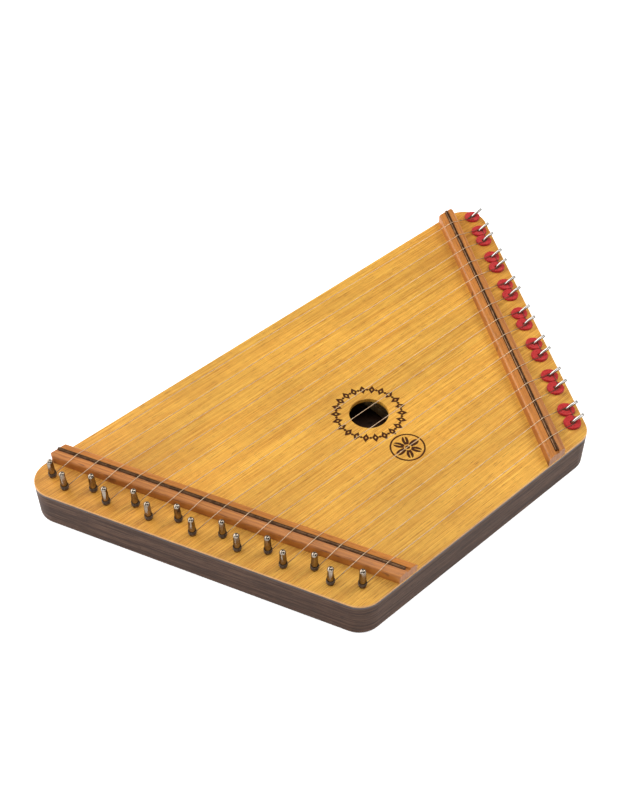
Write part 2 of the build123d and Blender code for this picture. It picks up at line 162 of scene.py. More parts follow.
class Finish:
    def __init__(self, name):
        self.material = bpy.data.materials.new(name)
        self.material.use_nodes = True
        self.tree = self.material.node_tree
        self.tree.nodes.clear()
        self.surface = self.tree.nodes.new("ShaderNodeBsdfPrincipled")
        end = self.tree.nodes.new("ShaderNodeOutputMaterial")
        self.tree.links.new(self.surface.outputs[0], end.inputs["Surface"])
        self.place = self.tree.nodes.new("ShaderNodeTexCoord").outputs["Object"]

    def feed(self, socket, value):
        if isinstance(value, bpy.types.NodeSocket):
            self.tree.links.new(value, socket)
        else:
            socket.default_value = value

    def node(self, kind, inputs, output=0, **settings):
        made = self.tree.nodes.new("ShaderNode" + kind)
        for key, value in settings.items():
            setattr(made, key, value)
        for key, value in inputs.items():
            self.feed(made.inputs[key], value)
        return made.outputs[output]

    def math(self, operation, a, b=0.0):
        return self.node("Math", {0: a, 1: b}, operation=operation)

    def axis(self, direction):
        """Distance along a direction, in metres."""
        return self.node("VectorMath", {0: self.place, 1: direction}, "Value", operation="DOT_PRODUCT")

    def vector(self, x, y, z=0.0):
        return self.node("CombineXYZ", {0: x, 1: y, 2: z})

    def noise(self, vector, scale=1.0, detail=4.0, rough=0.55, warp=0.0):
        return self.node("TexNoise", {"Vector": vector, "Scale": scale, "Detail": detail,
                                      "Roughness": rough, "Distortion": warp}, "Fac")

    def ramp(self, value, low, high):
        """0 at low, 1 at high, and a smooth step between. Low may be the greater one."""
        return self.node("MapRange", {"Value": value, "From Min": low, "From Max": high},
                         interpolation_type="SMOOTHSTEP")

    def mix(self, share, a, b, blend="MIX"):
        made = self.tree.nodes.new("ShaderNodeMix")
        made.data_type = "RGBA"
        made.blend_type = blend
        self.feed(made.inputs[0], share)
        self.feed(made.inputs[6], a)
        self.feed(made.inputs[7], b)
        return made.outputs[2]

    def bump(self, height, distance, strength):
        normal = self.node("Bump", {"Height": height, "Distance": distance, "Strength": strength}, "Normal")
        self.feed(self.surface.inputs["Normal"], normal)

    def set(self, **values):
        names = {"colour": "Base Color", "rough": "Roughness", "metal": "Metallic", "coat": "Coat Weight",
                 "coat_rough": "Coat Roughness", "sheen": "Sheen Weight", "sheen_rough": "Sheen Roughness",
                 "specular": "Specular IOR Level", "edge": "Specular Tint"}
        for key, value in values.items():
            self.feed(self.surface.inputs[names[key]], value)
        return self.material


print("finish helper ready")

# %% [markdown]
# ## Wood
# Sawn wood has three scales of pattern: broad clouds of colour, growth lines a millimetre or two apart, and
# short dark pores along them. All three are noise, drawn out along the grain and packed close across it.
# The soundboard's grain runs with the strings, so that the board is stiff under their pull. Its lacquer has
# aged to honey, deeper towards the two ends.

# %%
GRAIN_WANDER = 0.0012


def grain(finish, along, across, spacing):
    """(growth lines, fine fibres, pores, clouds), each from 0 to 1. Directions are unit vectors."""
    run = finish.axis(along)
    side = finish.axis(across)
    height = finish.axis(Z)
    drift = finish.noise(finish.vector(finish.math("MULTIPLY", run, 5), finish.math("MULTIPLY", side, 16)))
    side = finish.math("ADD", side, finish.math("MULTIPLY", drift, GRAIN_WANDER))
    deep = finish.math("MULTIPLY", height, 60)
    lines = finish.noise(finish.vector(finish.math("MULTIPLY", run, 2.5),
                                       finish.math("MULTIPLY", side, 1 / spacing), deep), detail=2)
    fibres = finish.noise(finish.vector(finish.math("MULTIPLY", run, 22),
                                        finish.math("MULTIPLY", side, 3.2 / spacing), deep), detail=6, rough=0.7)
    pores = finish.noise(finish.vector(finish.math("MULTIPLY", run, 90),
                                       finish.math("MULTIPLY", side, 4.5 / spacing), deep), detail=1)
    clouds = finish.noise(finish.vector(finish.math("MULTIPLY", run, 7),
                                        finish.math("MULTIPLY", side, 18), height), detail=3)
    return lines, fibres, pores, clouds


def wood(name, light, dark, pore, along, across, spacing, rough, coat,
         contrast=0.6, speckle=0.55, crisp=0.2):
    """(finish, colour). The caller may work on the colour before it sets it."""
    finish = Finish(name)
    lines, fibres, pores, clouds = grain(finish, along, across, spacing)
    figure = finish.math("ADD", finish.math("MULTIPLY", finish.ramp(lines, 0.36, 0.66), contrast),
                         finish.math("MULTIPLY", finish.ramp(fibres, 0.5 - crisp, 0.5 + crisp), 1 - contrast))
    colour = finish.mix(figure, light, dark)
    cloud = finish.mix(finish.ramp(clouds, 0.3, 0.7), (0.86, 0.86, 0.86, 1), (1.1, 1.1, 1.1, 1))
    colour = finish.mix(1.0, colour, cloud, "MULTIPLY")
    speck = finish.math("MULTIPLY", finish.ramp(pores, 0.62, 0.72), speckle)
    colour = finish.mix(speck, colour, pore)
    finish.bump(finish.math("ADD", fibres, finish.math("MULTIPLY", pores, -0.6)), 0.00012, 0.35)
    finish.set(rough=rough, coat=coat, coat_rough=0.16)
    return finish, colour


left_along = (LEFT_RUN / left_leg, -DEPTH / left_leg, 0)
left_across = (DEPTH / left_leg, LEFT_RUN / left_leg, 0)
right_along = tuple(along_leg)
right_across = tuple(outward)

rails = {}
for side, along, across in (("left", left_along, left_across), ("right", right_along, right_across)):
    finish, colour = wood(f"{side}_rail_wood", linear(206, 132, 54), linear(158, 90, 32), linear(92, 46, 16),
                          along, across, 0.0017, rough=0.5, coat=0.1, contrast=0.45, speckle=0.8)
    rails[side] = finish.set(colour=colour)

finish, colour = wood("block_wood", linear(196, 160, 112), linear(160, 120, 78), linear(110, 80, 50),
                      left_along, left_across, 0.002, rough=0.6, coat=0.0)
block_wood = finish.set(colour=colour)
finish, colour = wood("lining_wood", linear(214, 184, 132), linear(186, 148, 96), linear(140, 104, 64),
                      X, Y, 0.0014, rough=0.62, coat=0.0)
lining_wood = finish.set(colour=colour)
print("rails, blocks and linings have their wood")

# %% [markdown]
# The side band is dark and almost grey, with horizontal streaks. Its grain runs round the box, so the
# pattern is packed close in height only, and drawn out in both other directions. Its foot is painted darker
# still, a painted shade where the box meets the floor.

# %%
def dark_side(name):
    finish = Finish(name)

    def stretched(sideways, upwards):
        scale = (sideways, sideways, upwards)
        return finish.node("VectorMath", {0: finish.place, 1: scale}, operation="MULTIPLY")

    streaks = finish.noise(stretched(14, 520), detail=5, rough=0.62, warp=0.35)
    fibres = finish.noise(stretched(60, 1500), detail=4, rough=0.7)
    pores = finish.noise(stretched(140, 2600), detail=1)
    fibre_share = finish.math("MULTIPLY", finish.ramp(fibres, 0.42, 0.62), 0.7)
    pore_share = finish.math("MULTIPLY", finish.ramp(pores, 0.6, 0.7), 0.75)
    # Painted shade: the lowest millimetre of the side is darkened where it meets the floor.
    foot_painted_shade = finish.math("MULTIPLY", finish.ramp(finish.axis(Z), 0.0012, 0.0003), 0.6)
    colour = finish.mix(finish.ramp(streaks, 0.34, 0.66), linear(66, 44, 33), linear(108, 80, 64))
    colour = finish.mix(fibre_share, colour, linear(58, 38, 29))
    colour = finish.mix(pore_share, colour, linear(40, 28, 23))
    colour = finish.mix(foot_painted_shade, colour, linear(34, 26, 24))
    finish.bump(fibres, 0.0001, 0.4)
    return finish.set(colour=colour, rough=0.6, specular=0.2)


walnut = dark_side("dark_side_wood")
print("side band and back have their wood")

# %% [markdown]
# ## The soundboard and its burnt ornament
# A hot wire draws ornament on such boards: the wood goes dark brown where it dwells and fades out round it.
# Here a ring of lozenges and dots goes round the sound hole, and a small rosette of petals stands in front
# of it. Both are plain functions of the distance and the angle about a centre, so their edges stay sharp at
# any size. Noise roughens them a little, as a hand would. The board's rounded top edge is paler, partly
# rubbed wear and partly a painted highlight, and below it the board's cut edge turns dark like the side.

# %%
ring_radius = 0.0248
ring_count = 22
ring_step = 2 * pi * ring_radius / ring_count
lozenge_width, lozenge_height = 0.0027, 0.0044
dot_outer, dot_inner = 0.0012, 0.00095
rosette_centre = (-0.0088, -0.0435)
rosette_radius = 0.0108
heart_outer, heart_inner = 0.0019, 0.0016
petal_start, petal_full = 0.0026, 0.003
circle_gap, circle_outer, circle_inner = 0.0018, 0.0008, 0.0005


def polar(finish, centre):
    """(distance, angle) about an upright axis."""
    x = finish.math("SUBTRACT", finish.axis(X), centre[0])
    y = finish.math("SUBTRACT", finish.axis(Y), centre[1])
    square = finish.math("ADD", finish.math("MULTIPLY", x, x), finish.math("MULTIPLY", y, y))
    return finish.math("SQRT", square), finish.math("ARCTAN2", y, x)


def burnt_ring(finish, centre, shake):
    distance, angle = polar(finish, centre)
    off = finish.math("ADD", finish.math("SUBTRACT", distance, ring_radius), shake)
    turn = finish.math("MULTIPLY", angle, ring_count / (2 * pi))
    step = finish.math("SUBTRACT", finish.math("FRACT", finish.math("ADD", turn, 100.0)), 0.5)
    swing = finish.math("MULTIPLY", step, ring_step)
    lozenge = finish.math("ADD", finish.math("DIVIDE", finish.math("ABSOLUTE", swing), lozenge_width),
                          finish.math("DIVIDE", finish.math("ABSOLUTE", off), lozenge_height))
    filled = finish.ramp(lozenge, 1.05, 0.9)
    heart = finish.ramp(lozenge, 0.18, 0.3)
    lozenges = finish.math("MULTIPLY", filled, heart)
    gap = finish.math("SUBTRACT", 0.5, finish.math("ABSOLUTE", step))
    aside = finish.math("MULTIPLY", gap, ring_step)
    dot = finish.math("SQRT", finish.math("ADD", finish.math("MULTIPLY", aside, aside),
                                          finish.math("MULTIPLY", off, off)))
    dots = finish.ramp(dot, dot_outer, dot_inner)
    return finish.math("MAXIMUM", lozenges, dots)


def burnt_rosette(finish, centre, shake):
    distance, angle = polar(finish, centre)
    distance = finish.math("ADD", distance, shake)
    wave = finish.math("ABSOLUTE", finish.math("COSINE", finish.math("MULTIPLY", angle, 3.0)))
    rim = finish.math("MULTIPLY", finish.math("POWER", wave, 0.6), rosette_radius)
    petals = finish.ramp(finish.math("SUBTRACT", distance, rim), 0.0002, -0.0002)
    vein = finish.math("MULTIPLY", finish.ramp(wave, 0.986, 0.994),
                       finish.ramp(distance, rosette_radius * 0.45, rosette_radius * 0.5))
    petals = finish.math("MULTIPLY", petals, finish.math("SUBTRACT", 1.0, vein))
    petals = finish.math("MULTIPLY", petals, finish.ramp(distance, petal_start, petal_full))
    heart = finish.ramp(distance, heart_outer, heart_inner)
    off = finish.math("ABSOLUTE", finish.math("SUBTRACT", distance, rosette_radius + circle_gap))
    circle = finish.ramp(off, circle_outer, circle_inner)
    return finish.math("MAXIMUM", finish.math("MAXIMUM", petals, heart), circle)


finish, colour = wood("soundboard_wood", linear(240, 187, 78), linear(196, 130, 40), linear(130, 76, 24),
                      X, Y, 0.0016, rough=0.5, coat=0.22, contrast=0.35, speckle=0.8, crisp=0.11)
curl = finish.noise(finish.vector(finish.math("MULTIPLY", finish.axis(X), 190),
                                  finish.math("MULTIPLY", finish.axis(Y), 32)), detail=3, warp=0.6)
curl_shade = finish.mix(finish.ramp(curl, 0.3, 0.7), (0.955, 0.95, 0.93, 1), (1.025, 1.025, 1.03, 1))
colour = finish.mix(1.0, colour, curl_shade, "MULTIPLY")
ends = finish.ramp(finish.math("ABSOLUTE", finish.axis(X)), 0.10, 0.24)
deeper = finish.mix(1.0, colour, (0.84, 0.68, 0.56, 1), "MULTIPLY")
colour = finish.mix(finish.math("MULTIPLY", ends, 0.8), colour, deeper)
shake = finish.math("MULTIPLY", finish.math("SUBTRACT", finish.noise(finish.place, 900, 2), 0.5), 0.0005)
burn = finish.math("MAXIMUM", burnt_ring(finish, (hole_x * MM, 0.0), shake),
                   burnt_rosette(finish, rosette_centre, shake))
level = finish.axis(Z)
on_top = finish.ramp(level, (BOARD_TOP - 0.2) * MM, (BOARD_TOP - 0.1) * MM)
burn = finish.math("MULTIPLY", burn, on_top)
colour = finish.mix(finish.math("MULTIPLY", burn, 0.97), colour, linear(58, 24, 14))
# Partly wear, partly painted highlight: the rounded top edge is made paler, as rubbed lacquer and as light
# caught on the rounding.
arris_wear_and_highlight = finish.math("MULTIPLY", finish.ramp(level, (BOARD_TOP - 1.0) * MM, (BOARD_TOP - 0.8) * MM),
                    finish.ramp(level, (BOARD_TOP - 0.04) * MM, (BOARD_TOP - 0.2) * MM))
# The board's cut edge below the rounding turns dark, toward the side band's colour.
dark_edge_band = finish.ramp(level, (BOARD_TOP - 0.85) * MM, (BOARD_TOP - 1.25) * MM)
distance, _ = polar(finish, (hole_x * MM, 0.0))
outside = finish.ramp(distance, 0.02, 0.03)
colour = finish.mix(finish.math("MULTIPLY", finish.math("MULTIPLY", arris_wear_and_highlight, outside), 0.6), colour,
                    linear(242, 184, 120))
colour = finish.mix(finish.math("MULTIPLY", dark_edge_band, outside), colour, linear(58, 34, 26))
clear = finish.math("SUBTRACT", 1.0, burn)
soundboard_wood = finish.set(colour=colour, coat=finish.math("MULTIPLY", clear, 0.22),
                            specular=finish.math("MULTIPLY", finish.math("ADD", clear, 0.3), 0.38))
print("soundboard has its wood and its ornament")

# %% [markdown]
# ## Metal
# The tuning pins are nickel plated, with a warm and rather dark tint, and the hitch pins are brighter and
# more neutral. The strings are plain drawn steel, with painted shade low down beside the rails, where they
# turn darker. The saddle rods are thicker wire with a dark brown tone. Fine marks vary the roughness of
# every metal, and faint clouds vary its colour.

# %%
# Painted shade on the strings: below these heights their colour turns to the darker low colour.
LOW_SHADE_START, LOW_SHADE_FULL = (BOARD_TOP + 8.2) * MM, (BOARD_TOP + 5.0) * MM


def metal(name, colour, shade, rough, scratch, share=1.0, low=None):
    """Low is painted shade: the darker colour that it takes on below the rails' tops."""
    finish = Finish(name)
    clouds = finish.noise(finish.place, 260, 3)
    marks = finish.noise(finish.place, scratch, 3, 0.7)
    tone = finish.mix(finish.ramp(clouds, 0.35, 0.7), colour, shade)
    if low is not None:
        tone = finish.mix(finish.ramp(finish.axis(Z), LOW_SHADE_START, LOW_SHADE_FULL), tone, low)
    finish.bump(marks, 0.00002, 0.25)
    uneven = finish.node("MapRange", {"Value": marks, "To Min": rough * 0.7, "To Max": rough * 1.5})
    return finish.set(colour=tone, metal=share, edge=(0.25, 0.24, 0.23, 1), rough=uneven)


pin_nickel = metal("pin_nickel", linear(156, 144, 130), linear(134, 122, 108), 0.17, 1800)
hitch_nickel = metal("hitch_nickel", linear(180, 177, 173), linear(160, 157, 153), 0.12, 1500)
# The low colour of the strings is painted shade beside the rails.
string_steel = metal("string_steel", linear(222, 196, 164), linear(200, 172, 140), 0.34, 4000, share=0.5,
                     low=linear(96, 80, 66))
# The rods are given a dark brown tone.
rod_steel = metal("rod_steel", linear(118, 88, 64), linear(90, 66, 48), 0.3, 2500, share=0.9)
print("metals ready")

# %% [markdown]
# ## Felt
# The washers are punched from dense red wool felt. Wool takes light softly and glows a little at grazing
# angles, which is the sheen, and its surface is a mat of fibres, coarse enough to show as grain.

# %%
finish = Finish("red_felt")
mat = finish.noise(finish.place, 1400, 5, 0.75)
worn = finish.noise(finish.place, 220, 3)
felt_colour = finish.mix(finish.ramp(mat, 0.3, 0.75), linear(156, 12, 16), linear(220, 34, 36))
faded = finish.math("MULTIPLY", finish.ramp(worn, 0.4, 0.75), 0.5)
felt_colour = finish.mix(faded, felt_colour, linear(196, 28, 30))
finish.bump(mat, 0.0003, 0.8)
red_felt = finish.set(colour=felt_colour, rough=0.95, sheen=0.15, sheen_rough=0.6)

slot_finish = {
    "lacquered_spruce": soundboard_wood, "walnut": walnut, "maple_block": block_wood,
    "spruce_lining": lining_wood, "saddle_steel": rod_steel, "hitch_nickel": hitch_nickel,
    "red_felt": red_felt, "string_steel": string_steel, "pin_nickel": pin_nickel,
}
record_slots = {entry["node"]: entry["material_slot"] for entry in frame["record"]["subparts"]}
for name, piece in nodes.items():
    slot = record_slots[name]
    if slot == "stained_rail":
        chosen = rails["left"] if name.startswith("left") else rails["right"]
    else:
        chosen = slot_finish[slot]
    for index in range(len(piece.material_slots)):
        piece.material_slots[index].material = chosen
print("finishes on", len(nodes), "pieces")

# %% [markdown]
# ## The wires' routes
# A wire is a line of points first and a tube later. It starts at the cross hole of its tuning pin, goes up
# the pin in close turns, leaves its front, climbs to the left rod, bends over it, crosses the board, bends
# over the right rod, and comes down on to the felt. The longest one ends in an eye there. Each other wire
# makes two strings: it passes outside its first hitch pin, runs along to the next one, and goes back to the
# next tuning pin. A winding here has two turns more than the solid one has, in the same height, so its
# turns lie closer.

# %%
def at(x, y, z):
    return np.array([x, y, z], float)


def bezier(a, b, c, d, count):
    share = np.linspace(0, 1, count)[:, None]
    return a * (1 - share)**3 + 3 * b * share * (1 - share)**2 + 3 * c * share**2 * (1 - share) + d * share**3


def winding(number):
    x, y = pin_place(number)
    start = hole_angle(number)
    ray = at(cos(radians(start)), sin(radians(start)), 0)
    side = at(-sin(radians(start)), cos(radians(start)), 0)
    axis = at(x, y, CROSS_HOLE_Z)
    lead = start + LEAD_IN
    mouth = axis + ray * (PIN_RADIUS + 0.1)
    elbow = axis + ray * (PIN_RADIUS + 0.75) + side * 0.45
    landing = at(x + COIL_RADIUS * cos(radians(lead)), y + COIL_RADIUS * sin(radians(lead)), COIL_BASE)
    heading = at(-sin(radians(lead)), cos(radians(lead)), 0)
    points = [bezier(mouth, mouth + ray * 0.45, elbow - side * 0.35, elbow, 9)]
    points.append(bezier(elbow, elbow + side * 0.9, landing - heading * 0.9, landing, 10)[1:])
    total = FRONT - lead + 360 * EXTRA_TURNS
    share = np.linspace(0, 1, int(total / 9))[1:]
    angle = np.radians(lead + share * total)
    rise = COIL_BASE + share * (COIL_TOP - COIL_BASE)
    points.append(np.stack([x + COIL_RADIUS * np.cos(angle), y + COIL_RADIUS * np.sin(angle), rise], 1))
    return np.concatenate(points)


def saddle_arc(y, rod_x, low_x, low_z, side):
    """Points over a rod, from the side that faces a lower point to its top."""
    reach = ROD_RADIUS + WIRE + ROD_SEAT
    run = abs(rod_x - low_x)
    rise = ROD_Z - low_z
    climb = atan2(rise, run) + asin(reach / hypot(run, rise))
    angle = np.linspace(climb, 0, 9)
    return np.stack([rod_x + side * reach * np.sin(angle), np.full(9, y), ROD_Z + reach * np.cos(angle)], 1)


def tuning_half(number):
    x, _ = pin_place(number)
    y = string_y(number)
    return np.concatenate([winding(number), saddle_arc(y, left_x(y, LEFT_SADDLE), x, COIL_TOP, -1)])


def hitch_side(number):
    if number == 1:
        return 0
    return 1 if number % 2 else -1


ring_z = BOARD_TOP + FELT_THICKNESS + WIRE


def hitch_foot(number):
    lean = tan(radians(HITCH_LEAN))
    y = string_y(number) + hitch_side(number) * HITCH_TURN - outward.y * (ring_z - BOARD_TOP) * lean
    return at(right_x(y, HITCH_INSET), y, BOARD_TOP)


def hitch_axis(number, z):
    lean = tan(radians(HITCH_LEAN))
    return hitch_foot(number) + at(outward.x * lean, outward.y * lean, 1) * (z - BOARD_TOP)


wide = HITCH_RADIUS / cos(radians(HITCH_LEAN)) + WIRE + HITCH_SEAT
narrow = HITCH_RADIUS + WIRE + HITCH_SEAT


def round_pin(number, first, last, count=14):
    """The wire hugs a leaning round pin, so it follows an ellipse. Angles are from the outward direction."""
    out, leg = np.array(outward), np.array(along_leg)
    angle = np.radians(np.linspace(first, last, count))[:, None]
    return hitch_axis(number, ring_z) + out * wide * np.cos(angle) + leg * narrow * np.sin(angle)


def descent(number, goal):
    """Over the right rod and down to a point on the felt, where the wire ends level."""
    y = string_y(number)
    rod_x = right_x(y, RIGHT_SADDLE)
    knee = at(goal[0] - 1.6, goal[1], goal[2])
    over = saddle_arc(y, rod_x, knee[0], knee[2], 1)[::-1]
    slope = knee - over[-1]
    slope = slope / np.linalg.norm(slope)
    bend = bezier(knee - slope * 1.6, knee - slope * 0.5, knee + at(0.5, 0, 0), knee + at(1.4, 0, 0), 9)
    return np.concatenate([over, bend])


level_angle = degrees(atan2(along_leg.y * narrow, outward.y * wide))
front_angle = level_angle - 180
print(f"a wire touches its hitch pin {level_angle:.0f} degrees round from the outward side")

# %% [markdown]
# The first string's eye is closed by hand: the wire goes round its pin, comes back, and is twisted a little
# over three times round itself before its short end sticks out to the front.

# %%
EYE_LENGTH = 6.2
EYE_LIFT = 0.28
TWISTS = 3.2
TWIST_RADIUS = 0.52


def eye():
    start = hitch_axis(1, ring_z) + at(-EYE_LENGTH, 0, EYE_LIFT)
    loop = round_pin(1, 200, -150, 34)[::-1]
    into = bezier(start, start + at(1.8, 0, 0), loop[0] - at(1.6, -0.5, 0), loop[0], 10)
    back = loop[-1]
    twists = []
    for share in np.linspace(0, 1, 50):
        angle = 2 * pi * TWISTS * share + pi / 2
        middle = start + at(2.3 - 1.9 * share, 0, 0)
        twists.append(middle + at(0, TWIST_RADIUS * cos(angle), TWIST_RADIUS * sin(angle)))
    twists = np.array(twists)
    home = bezier(back, back + at(-1.0, -0.4, 0.1), twists[0] + at(0.5, 0.2, 0.1), twists[0], 8)
    end = twists[-1]
    tail = bezier(end, end + at(-0.2, -0.8, 0.2), end + at(0.4, -2.2, 0.5), end + at(1.3, -4.2, 0.6), 10)
    return np.concatenate([into, loop[1:], home[1:], twists[1:], tail[1:]]), start


routes = {}
eye_points, eye_start = eye()
routes["string_01"] = np.concatenate([tuning_half(1), descent(1, eye_start), eye_points[1:]])
for number in range(2, STRINGS, 2):
    there = round_pin(number, level_angle, 0)
    back = round_pin(number + 1, 0, front_angle)
    routes[f"string_{number:02d}_{number + 1:02d}"] = np.concatenate([
        tuning_half(number), descent(number, there[0]), there, back,
        descent(number + 1, back[-1])[::-1], tuning_half(number + 1)[::-1]])
for name, points in routes.items():
    length = np.linalg.norm(np.diff(points, axis=0), axis=1).sum()
    print(f"{name}: {length:.0f} mm of wire in {len(points)} points")

# %% [markdown]
# ## From route to tube
# A geometry tree turns a line of points into a tube: the mesh line becomes a curve, a circle is drawn along
# it, and the ends are closed. The tree's inputs are the radius, the number of sides and the finish. The
# result is kept as a plain mesh, so that nothing is worked out again when a pin turns.

# %%
def tube_tree():
    tree = bpy.data.node_groups.new("tube_along_points", "GeometryNodeTree")
    tree.interface.new_socket("Line", in_out="INPUT", socket_type="NodeSocketGeometry")
    for name, kind in (("Radius", "NodeSocketFloat"), ("Sides", "NodeSocketInt"),
                       ("Finish", "NodeSocketMaterial")):
        tree.interface.new_socket(name, in_out="INPUT", socket_type=kind)
    tree.interface.new_socket("Tube", in_out="OUTPUT", socket_type="NodeSocketGeometry")
    given = tree.nodes.new("NodeGroupInput")
    result = tree.nodes.new("NodeGroupOutput")
    curve = tree.nodes.new("GeometryNodeMeshToCurve")
    circle = tree.nodes.new("GeometryNodeCurvePrimitiveCircle")
    tube = tree.nodes.new("GeometryNodeCurveToMesh")
    smooth = tree.nodes.new("GeometryNodeSetShadeSmooth")
    real = tree.nodes.new("GeometryNodeRealizeInstances")
    paint = tree.nodes.new("GeometryNodeSetMaterial")
    link = tree.links.new
    link(given.outputs["Line"], curve.inputs[0])
    link(given.outputs["Radius"], circle.inputs["Radius"])
    link(given.outputs["Sides"], circle.inputs["Resolution"])
    link(curve.outputs[0], tube.inputs["Curve"])
    link(circle.outputs[0], tube.inputs["Profile Curve"])
    tube.inputs["Fill Caps"].default_value = True
    link(tube.outputs[0], smooth.inputs["Geometry"])
    link(smooth.outputs[0], real.inputs[0])
    link(real.outputs[0], paint.inputs["Geometry"])
    link(given.outputs["Finish"], paint.inputs["Material"])
    link(paint.outputs[0], result.inputs[0])
    return tree


def plain(name, base, tree, values):
    """Runs a geometry tree on a mesh and keeps the result as a plain mesh object."""
    holder = bpy.data.objects.new(name + "_holder", base)
    bpy.context.scene.collection.objects.link(holder)
    modifier = holder.modifiers.new("tree", "NODES")
    keys = {item.name: item.identifier for item in tree.interface.items_tree if item.in_out == "INPUT"}
    modifier.node_group = tree
    for key, value in values.items():
        modifier[keys[key]] = value
    bpy.context.view_layer.update()
    evaluated = holder.evaluated_get(bpy.context.evaluated_depsgraph_get())
    mesh = bpy.data.meshes.new_from_object(evaluated)
    mesh.name = name
    bpy.data.objects.remove(holder)
    made = bpy.data.objects.new(name, mesh)
    bpy.context.scene.collection.objects.link(made)
    return made


def line_mesh(name, line):
    """A mesh of one bare line, from its points in millimetres."""
    mesh = bpy.data.meshes.new(name)
    mesh.from_pydata([tuple(p * MM) for p in line], [(i, i + 1) for i in range(len(line) - 1)], [])
    return mesh


tube = tube_tree()
wire_inputs = {"Radius": WIRE * MM, "Sides": WIRE_SIDES, "Finish": string_steel}
for name, points in routes.items():
    made = plain(name + "_wire", line_mesh(name + "_line", points), tube, wire_inputs)
    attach(made, "zither")
    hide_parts(name)
print("wires made:", len(routes))

# %% [markdown]
# Each wire's first millimetres fill the cross hole of its tuning pin, and its end is cut off just inside
# the far mouth, clear of the winding at every angle. That end turns with the pin, so it is a piece of its
# own on the pin's body.

# %%
END_START = PIN_RADIUS + 0.04
END_CUT = 0.1 - PIN_RADIUS
for number in range(1, STRINGS + 1):
    x, y = pin_place(number)
    angle = radians(hole_angle(number))
    ray = at(cos(angle), sin(angle), 0)
    axis = at(x, y, CROSS_HOLE_Z)
    stub = axis + ray * np.linspace(END_START, END_CUT, 8)[:, None]
    made = plain(f"wire_end_{number:02d}", line_mesh("end_line", stub), tube, wire_inputs)
    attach(made, f"pin_{number:02d}")
print("wire ends on their pins:", STRINGS)

# %% [markdown]
# ## Hitch pins
# A hitch pin is a round nickel nail, driven square to the end of the box at a lean and bent a little
# further over, so that the wire can't ride up it. Its tip is rounded. One function makes all fifteen: it
# sets rings of points along a pin's line, and narrows the last rings to a dome.

# %%
def lean_direction(lean):
    return np.array(outward) * sin(radians(lean)) + at(0, 0, cos(radians(lean)))


def hitch_line(number):
    foot = hitch_foot(number)
    bend = foot + lean_direction(HITCH_LEAN) * FELT_THICKNESS
    centre = bend + lean_direction(HITCH_LEAN + 90) * HITCH_CURL_RADIUS
    points = [foot - lean_direction(HITCH_LEAN) * HITCH_ROOT, foot, bend]
    for share in np.linspace(0, 1, 13)[1:]:
        points.append(centre - lean_direction(HITCH_LEAN + 90 + HITCH_CURL * share) * HITCH_CURL_RADIUS)
    return points


def rounded_rods(name, lines, radius, tip, sides):
    """Closed round rods along lines of points, each with a domed far end."""
    points, faces = [], []
    for line in lines:
        line = [Vector(p) for p in line]
        rings = []
        for i, p in enumerate(line):
            heading = (line[min(i + 1, len(line) - 1)] - line[max(i - 1, 0)]).normalized()
            rings.append((p, heading, radius))
        p, heading, _ = rings.pop()
        for share in np.linspace(0, 1, 7):
            angle = share * pi / 2
            size = radius - tip + tip * cos(angle)
            rings.append((p - heading * tip * (1 - sin(angle)), heading, size))
        first = len(points)
        for centre, heading, size in rings:
            side = heading.cross(Vector((0, 1, 0))).normalized()
            other = heading.cross(side)
            for k in range(sides):
                a = 2 * pi * k / sides
                points.append((centre + side * size * cos(a) + other * size * sin(a)) * MM)
        for ring in range(len(rings) - 1):
            for k in range(sides):
                a = first + ring * sides + k
                b = first + ring * sides + (k + 1) % sides
                faces.append((a, b, b + sides, a + sides))
        faces.append(tuple(first + k for k in reversed(range(sides))))
        last = first + (len(rings) - 1) * sides
        faces.append(tuple(last + k for k in range(sides)))
    mesh = bpy.data.meshes.new(name)
    mesh.from_pydata(points, [], faces)
    mesh.validate()
    for polygon in mesh.polygons:
        polygon.use_smooth = len(polygon.vertices) == 4
    made = bpy.data.objects.new(name, mesh)
    bpy.context.scene.collection.objects.link(made)
    return made


hitch_lines = [hitch_line(number) for number in range(1, STRINGS + 1)]
pins = rounded_rods("hitch_pins_bright", hitch_lines, HITCH_RADIUS, HITCH_TIP, sides=32)
pins.data.materials.append(hitch_nickel)
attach(pins, "zither")
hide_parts("hitch_pins")
print("hitch pins:", STRINGS, "in", len(pins.data.polygons), "faces")

# %% [markdown]
# ## Felt washers
# Each washer is a thick disc with a hole, soft enough that the wire's pull and the pin press it down in the
# middle and its rim lifts a little. Its surface is a ring of points round and across the section, pushed by
# four things: the crease under the wire, the pressed middle, the lifted rim and the unevenness of wool.

# %%
def washer_section():
    """(radius, height) round a washer's cut face: flat top, rounded edge, straight rim and flat foot."""
    shoulder = FELT_RADIUS - FELT_EDGE
    section = [(radius, FELT_THICKNESS) for radius in np.linspace(FELT_BORE, shoulder, 12)]
    for share in np.linspace(0, 1, 7)[1:]:
        angle = share * pi / 2
        section.append((shoulder + FELT_EDGE * sin(angle), FELT_THICKNESS - FELT_EDGE + FELT_EDGE * cos(angle)))
    foot = [(FELT_RADIUS, 0.5), (FELT_RADIUS - 0.12, 0.12), (FELT_RADIUS - 0.4, 0.06), (FELT_BORE, 0.06)]
    return section + foot


CREASE_DEPTH, CREASE_WIDTH, CREASE_ASIDE = 1.15, 0.75, 1.5
PRESS_DEPTH, PRESS_WIDTH = 0.35, 2.6
LIFT_START = 3.5
WOOL_HEIGHT = 0.05


